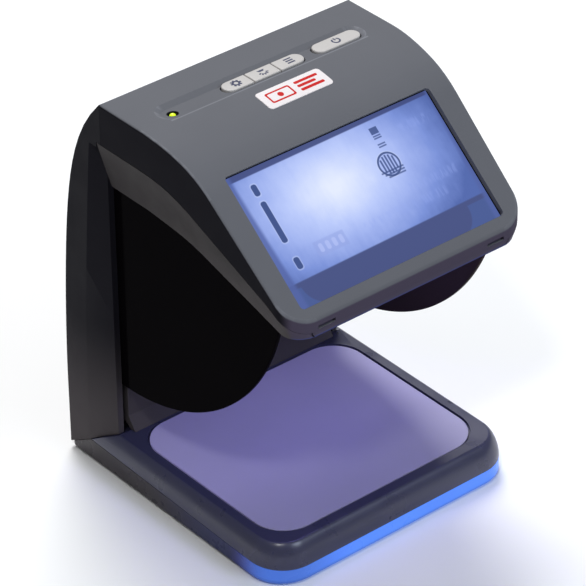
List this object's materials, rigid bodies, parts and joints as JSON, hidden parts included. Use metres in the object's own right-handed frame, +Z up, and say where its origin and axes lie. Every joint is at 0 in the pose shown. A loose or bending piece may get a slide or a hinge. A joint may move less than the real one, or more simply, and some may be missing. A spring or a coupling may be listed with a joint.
{
  "type": "counterfeit bill detector",
  "caption": "Desktop counterfeit bill detector: tilted screen head on a rear column over a flat note tray, with curved dark side shades and push buttons on top.",
  "frame": {"origin": "on the table surface, under the middle of the footprint's bounding box", "axes": "+Z up, +X to the user's right, the user stands at -Y and faces +Y"},
  "size_m": [0.1186, 0.131, 0.1661],
  "materials": {
    "grey_plastic": "fine spark-eroded texture, satin",
    "slate_plastic": "fine spark-eroded texture, satin",
    "dark_plastic": "fine spark-eroded texture, satin",
    "skirt_plastic": "blue light-guide plastic, lit from inside",
    "inlay_film": "printed film over an opal diffuser",
    "circuit_board": "green solder resist",
    "led_package": "white LED packages and backlight tray",
    "rubber": "dull",
    "steel": "zinc-plated",
    "chip_plastic": "black moulding compound",
    "brass": "plated contact",
    "screen": "lit liquid-crystal panel",
    "shade_acrylic": "polished dark acrylic",
    "key_plastic": "satin warm grey",
    "status_lens": "lit yellow-green LED",
    "badge_white": "white lacquered plate",
    "lens_glass": "coated lens",
    "filter_plastic": "infrared-pass and violet filter plastic",
    "wire": "PVC insulation"
  },
  "bodies": {
    "housing": {"base_lower_shell": "skirt_plastic", "base_top_cover": "slate_plastic", "tray_inlay": "inlay_film", "tray_light_board": "circuit_board", "tray_leds": "led_package", "rubber_feet": "rubber", "base_screws": "steel", "rear_cover": "dark_plastic", "rear_cover_screws": "steel", "column_front_cover": "dark_plastic", "main_board": "circuit_board", "board_chips": "chip_plastic", "board_screws": "steel", "dc_jack": "chip_plastic", "dc_jack_pin": "brass", "head_top_shell": "grey_plastic", "head_lower_shell": "dark_plastic", "head_screws": "steel", "lcd_glass": "screen", "lcd_backlight": "led_package", "lcd_bracket": "steel", "lcd_board": "circuit_board", "left_side_shade": "shade_acrylic", "right_side_shade": "shade_acrylic", "keypad_mat": "rubber", "key_board": "circuit_board", "key_switches": "chip_plastic", "status_led": "status_lens", "badge_plate": "badge_white", "camera_board": "circuit_board", "camera_body": "chip_plastic", "camera_lens": "lens_glass", "camera_window": "filter_plastic", "ir_leds": "led_package", "lamp_board": "circuit_board", "uv_leds": "led_package", "lamp_window": "filter_plastic", "power_harness": "wire", "head_harness": "wire", "tray_harness": "wire"},
    "settings_button": {"settings_button": "key_plastic"},
    "lamp_button": {"lamp_button": "key_plastic"},
    "mode_button": {"mode_button": "key_plastic"},
    "power_button": {"power_button": "key_plastic"}
  },
  "joints": [
    {"name": "settings_press", "type": "slide", "parent": "housing", "child": "settings_button", "axis": [0, 0, -1], "range_m": [0, 0.0007], "stiffness_N_per_m": 900, "springref_m": -0.0003},
    {"name": "lamp_press", "type": "slide", "parent": "housing", "child": "lamp_button", "axis": [0, 0, -1], "range_m": [0, 0.0007], "stiffness_N_per_m": 900, "springref_m": -0.0003},
    {"name": "mode_press", "type": "slide", "parent": "housing", "child": "mode_button", "axis": [0, 0, -1], "range_m": [0, 0.0007], "stiffness_N_per_m": 900, "springref_m": -0.0003},
    {"name": "power_press", "type": "slide", "parent": "housing", "child": "power_button", "axis": [0, 0, -1], "range_m": [0, 0.0007], "stiffness_N_per_m": 900, "springref_m": -0.0003}
  ]
}
